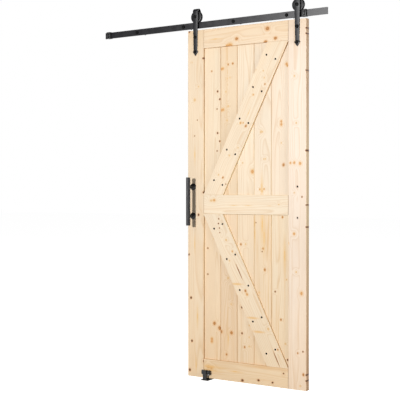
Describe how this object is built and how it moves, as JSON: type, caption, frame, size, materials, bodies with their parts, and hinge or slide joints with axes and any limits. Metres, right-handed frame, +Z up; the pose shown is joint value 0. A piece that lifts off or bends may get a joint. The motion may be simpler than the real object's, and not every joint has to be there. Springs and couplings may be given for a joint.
{
  "type": "sliding barn door",
  "caption": "Pine sliding door with stiles, rails, grooved boards and two diagonal braces, hung by strap hangers with wheels on a flat rail, with end stops, floor guide and pull handle.",
  "frame": {"origin": "centre of the floor guide's base plate, on the floor", "axes": "+X along the rail to the right, as seen from the front; -Y is the front of the door; +Z up"},
  "size_m": [1.6018, 0.178, 2.2792],
  "materials": {
    "pine": "planed and clear finished softwood, low sheen",
    "coated_steel": "black powder coat, satin",
    "black_fasteners": "black oxide, satin",
    "black_nylon": "turned nylon, semi-matte",
    "bare_steel": "zinc-plated steel",
    "bumper_rubber": "moulded rubber, matte"
  },
  "bodies": {
    "root": {"track_rail": "coated_steel", "rail_spacers": "coated_steel", "rail_washers": "black_fasteners", "rail_bolts": "black_fasteners", "left_end_stop": "coated_steel", "right_end_stop": "coated_steel", "left_bumper": "bumper_rubber", "right_bumper": "bumper_rubber", "stop_set_screws": "black_fasteners", "guide_base": "coated_steel", "front_guide_bracket": "coated_steel", "rear_guide_bracket": "coated_steel", "guide_clamp_screws": "black_fasteners", "roller_pins": "bare_steel"},
    "door": {"left_stile": "pine", "right_stile": "pine", "top_rail": "pine", "middle_rail": "pine", "bottom_rail": "pine", "upper_board_1": "pine", "upper_board_2": "pine", "upper_board_3": "pine", "upper_board_4": "pine", "upper_board_5": "pine", "lower_board_1": "pine", "lower_board_2": "pine", "lower_board_3": "pine", "lower_board_4": "pine", "lower_board_5": "pine", "upper_brace": "pine", "lower_brace": "pine", "left_hanger_strap": "coated_steel", "right_hanger_strap": "coated_steel", "handle_bar": "coated_steel", "handle_end_caps": "coated_steel", "upper_handle_post": "coated_steel", "lower_handle_post": "coated_steel", "handle_rosettes": "coated_steel", "brace_screws": "black_fasteners", "hanger_bolts": "black_fasteners", "hanger_washers": "black_fasteners", "hanger_nuts": "black_fasteners", "left_axle_bolt": "black_fasteners", "right_axle_bolt": "black_fasteners", "axle_nuts": "black_fasteners", "handle_screws": "black_fasteners", "axle_spacers": "bare_steel"},
    "left_wheel": {"left_wheel": "black_nylon", "left_wheel_bearing": "bare_steel"},
    "right_wheel": {"right_wheel": "black_nylon", "right_wheel_bearing": "bare_steel"},
    "front_left_roller": {"front_left_roller": "black_nylon"},
    "front_right_roller": {"front_right_roller": "black_nylon"},
    "rear_left_roller": {"rear_left_roller": "black_nylon"},
    "rear_right_roller": {"rear_right_roller": "black_nylon"}
  },
  "joints": [
    {"name": "door_slide", "type": "slide", "parent": "root", "child": "door", "axis": [1, 0, 0], "range_m": [-0.648, 0]},
    {"name": "left_wheel_spin", "type": "hinge", "parent": "door", "child": "left_wheel", "pos_m": [-0.083, -0.0035, 2.2282], "axis": [0, 1, 0], "range_deg": [-1200, 30]},
    {"name": "right_wheel_spin", "type": "hinge", "parent": "door", "child": "right_wheel", "pos_m": [0.616, -0.0035, 2.2282], "axis": [0, 1, 0], "range_deg": [-1200, 30]},
    {"name": "front_left_roller_spin", "type": "hinge", "parent": "root", "child": "front_left_roller", "pos_m": [-0.019, -0.03025, 0.046], "axis": [0, 0, 1], "continuous": true},
    {"name": "front_right_roller_spin", "type": "hinge", "parent": "root", "child": "front_right_roller", "pos_m": [0.019, -0.03025, 0.046], "axis": [0, 0, 1], "continuous": true},
    {"name": "rear_left_roller_spin", "type": "hinge", "parent": "root", "child": "rear_left_roller", "pos_m": [-0.019, 0.03025, 0.046], "axis": [0, 0, 1], "continuous": true},
    {"name": "rear_right_roller_spin", "type": "hinge", "parent": "root", "child": "rear_right_roller", "pos_m": [0.019, 0.03025, 0.046], "axis": [0, 0, 1], "continuous": true}
  ],
  "couplings": [
    {"joint": "left_wheel_spin", "follows": "door_slide", "rad_per_m": 31.25},
    {"joint": "right_wheel_spin", "follows": "door_slide", "rad_per_m": 31.25}
  ]
}
